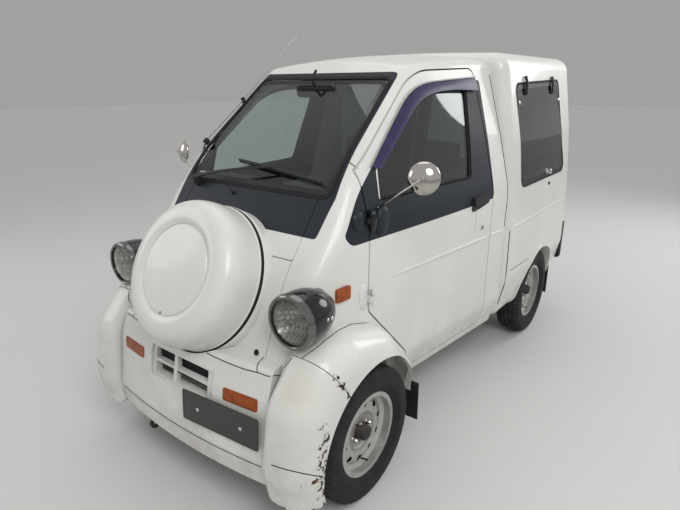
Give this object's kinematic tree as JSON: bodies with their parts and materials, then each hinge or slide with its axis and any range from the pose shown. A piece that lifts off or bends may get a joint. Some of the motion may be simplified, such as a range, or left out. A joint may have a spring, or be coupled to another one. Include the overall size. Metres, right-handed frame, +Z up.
{
  "type": "kei car",
  "caption": "Short one-box kei car with a spare wheel on its nose, round lamps, two doors, a raised cargo box and a tailgate.",
  "frame": {"origin": "on the ground under the middle of the car's bounding box", "axes": "+Z up, the front faces -Y, +X is the car's left side"},
  "size_m": [1.4734, 2.829, 1.7848],
  "materials": {
    "amber": "clear",
    "black_plastic": "satin",
    "cast": "rough",
    "chrome": "polished",
    "clear_glass": "clear",
    "dark_paint": "gloss",
    "frame_black": "satin",
    "grey_trim": "matt",
    "lamp_black": "gloss",
    "lamp_glass": "fluted",
    "red_lens": "clear",
    "rubber": "matt",
    "seat_cloth": "woven",
    "tyre": "matt",
    "wheel_steel": "satin",
    "white_paint": "gloss"
  },
  "bodies": {
    "body": {"cab_shell": "white_paint", "cargo_body": "white_paint", "hood_panel": "white_paint", "cowl_panel": "dark_paint", "windscreen_seal": "rubber", "fixed_glasses": "clear_glass", "front_fenders": "white_paint", "bumper_corners": "white_paint", "front_bumper": "white_paint", "front_grille": "white_paint", "amber_lamps": "amber", "headlamp_shells": "lamp_black", "headlamp_lenses": "lamp_glass", "spare_cover": "white_paint", "spare_wheel": "tyre", "chassis_frame": "frame_black", "front_suspension": "frame_black", "rear_axle": "cast", "engine_block": "cast", "fuel_tank": "frame_black", "exhaust": "cast", "rear_bumper": "black_plastic", "tail_lamps": "red_lens", "dashboard": "grey_trim", "seats": "seat_cloth", "mudflaps": "rubber", "antenna": "chrome", "hinges": "white_paint"},
    "door_left": {"door_left": "white_paint", "door_glass_left": "clear_glass", "mirror_left": "lamp_black"},
    "door_right": {"door_right": "white_paint", "door_glass_right": "clear_glass", "mirror_right": "lamp_black"},
    "tailgate": {"tailgate": "white_paint", "tailgate_glass": "clear_glass"},
    "steer_left": {"knuckle_left": "cast"},
    "steer_right": {"knuckle_right": "cast"},
    "steering_wheel": {"steering_wheel": "grey_trim"},
    "wheel_front_left": {"tyre_front_left": "tyre", "rim_front_left": "wheel_steel"},
    "wheel_front_right": {"tyre_front_right": "tyre", "rim_front_right": "wheel_steel"},
    "wheel_rear_left": {"tyre_rear_left": "tyre", "rim_rear_left": "wheel_steel"},
    "wheel_rear_right": {"tyre_rear_right": "tyre", "rim_rear_right": "wheel_steel"}
  },
  "joints": [
    {"name": "door_left_hinge", "type": "hinge", "parent": "body", "child": "door_left", "pos_m": [0.53, -0.7835, 0.78], "axis": [0.0499, 0, -0.9988], "range_deg": [0, 65]},
    {"name": "door_right_hinge", "type": "hinge", "parent": "body", "child": "door_right", "pos_m": [-0.53, -0.7835, 0.78], "axis": [0.0499, 0, 0.9988], "range_deg": [0, 65]},
    {"name": "tailgate_hinge", "type": "hinge", "parent": "body", "child": "tailgate", "pos_m": [0, 1.392, 1.606], "axis": [1, 0, 0], "range_deg": [0, 80]},
    {"name": "steer_left_pivot", "type": "hinge", "parent": "body", "child": "steer_left", "pos_m": [0.508, -0.922, 0.271], "axis": [0, 0, 1], "range_deg": [-30, 30]},
    {"name": "steer_right_pivot", "type": "hinge", "parent": "body", "child": "steer_right", "pos_m": [-0.508, -0.922, 0.271], "axis": [0, 0, 1], "range_deg": [-30, 30]},
    {"name": "steering_wheel_turn", "type": "hinge", "parent": "body", "child": "steering_wheel", "pos_m": [-0.25, -0.49, 0.985], "axis": [0, 0.6428, 0.766], "range_deg": [-460, 460]},
    {"name": "wheel_front_left_spin", "type": "hinge", "parent": "steer_left", "child": "wheel_front_left", "pos_m": [0.555, -0.922, 0.271], "axis": [1, 0, 0], "continuous": true},
    {"name": "wheel_front_right_spin", "type": "hinge", "parent": "steer_right", "child": "wheel_front_right", "pos_m": [-0.555, -0.922, 0.271], "axis": [1, 0, 0], "continuous": true},
    {"name": "wheel_rear_left_spin", "type": "hinge", "parent": "body", "child": "wheel_rear_left", "pos_m": [0.555, 0.918, 0.271], "axis": [1, 0, 0], "continuous": true},
    {"name": "wheel_rear_right_spin", "type": "hinge", "parent": "body", "child": "wheel_rear_right", "pos_m": [-0.555, 0.918, 0.271], "axis": [1, 0, 0], "continuous": true}
  ],
  "couplings": [
    {"joint": "steer_right_pivot", "follows": "steer_left_pivot", "ratio": 1},
    {"joint": "steering_wheel_turn", "follows": "steer_left_pivot", "ratio": 15}
  ]
}
